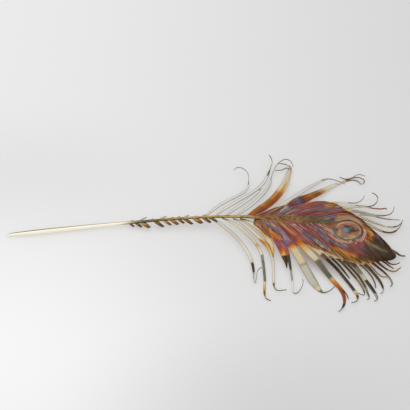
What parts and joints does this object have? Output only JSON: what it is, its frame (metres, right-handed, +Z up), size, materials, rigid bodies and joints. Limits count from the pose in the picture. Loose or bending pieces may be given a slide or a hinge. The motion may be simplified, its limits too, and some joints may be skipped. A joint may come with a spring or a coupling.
{
  "type": "metal peacock feather",
  "caption": "Decorative peacock feather in heat-tinted polished steel: a tapered bright shaft, a chased eye blade with curled slit barbs, lying flat.",
  "frame": {"origin": "on the surface the feather lies on, below the middle of its footprint", "axes": "+X from the quill's end towards the tip, +Z up out of the surface, +Y to the left of the shaft seen from above"},
  "size_m": [0.3908, 0.1951, 0.0126],
  "materials": {
    "shaft_steel": "polished, bare at the quill and gold to olive brown along the vane",
    "blade_steel": "polished along the barbs and heat tinted straw, gold, red brown, purple, blue and near black",
    "barb_steel": "polished, silver to straw with darker heat tints near the curled ends"
  },
  "bodies": {
    "root": {"shaft": "shaft_steel", "blade": "blade_steel", "barb_far_1": "barb_steel", "barb_far_2": "barb_steel", "barb_far_3": "barb_steel", "barb_far_4": "barb_steel", "barb_far_5": "barb_steel", "barb_near_1": "barb_steel", "barb_near_2": "barb_steel", "barb_near_3": "barb_steel", "barb_near_4": "barb_steel"}
  },
  "joints": []
}
